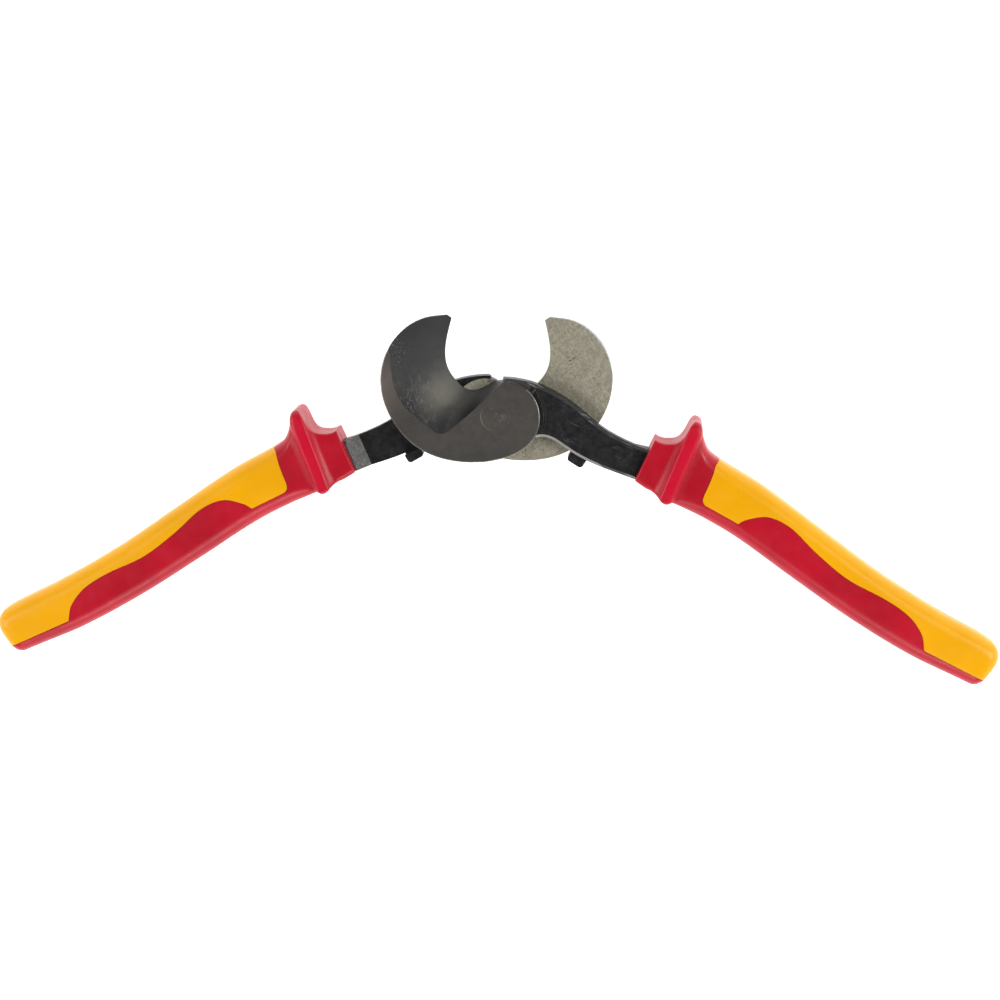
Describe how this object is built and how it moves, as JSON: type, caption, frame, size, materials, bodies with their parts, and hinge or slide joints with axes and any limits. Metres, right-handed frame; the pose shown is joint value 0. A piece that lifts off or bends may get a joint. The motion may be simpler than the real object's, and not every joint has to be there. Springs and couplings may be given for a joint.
{
  "type": "insulated cable cutter",
  "caption": "Two-lever cable cutter with crossed crescent shear jaws on one rivet and long insulated two-colour grips with finger guards.",
  "frame": {"origin": "centre of the overall box in X and Y, at its lowest Z: the surface that the open tool lies on", "axes": "+Z along the rivet towards the outer face of the front lever, +Y towards the jaws' tips, +X towards the front lever's grip; the open tool is its own copy when turned half a turn about +Y through the rivet"},
  "size_m": [0.391, 0.1376, 0.021],
  "materials": {
    "black_forged_steel": "black phosphated and lacquered forging",
    "ground_steel": "ground",
    "yellow_sleeve": "satin moulded",
    "red_cover": "satin moulded, slightly soft"
  },
  "bodies": {
    "front_half": {"front_lever": "black_forged_steel", "front_inner_sleeve": "yellow_sleeve", "front_outer_cover": "red_cover", "pivot_rivet": "ground_steel"},
    "rear_half": {"rear_lever": "black_forged_steel", "rear_inner_sleeve": "yellow_sleeve", "rear_outer_cover": "red_cover"}
  },
  "joints": [
    {"name": "jaw_pivot", "type": "hinge", "parent": "front_half", "child": "rear_half", "pos_m": [0, 0.03136, 0.0105], "axis": [0, 0, 1], "range_deg": [0, 117]}
  ]
}
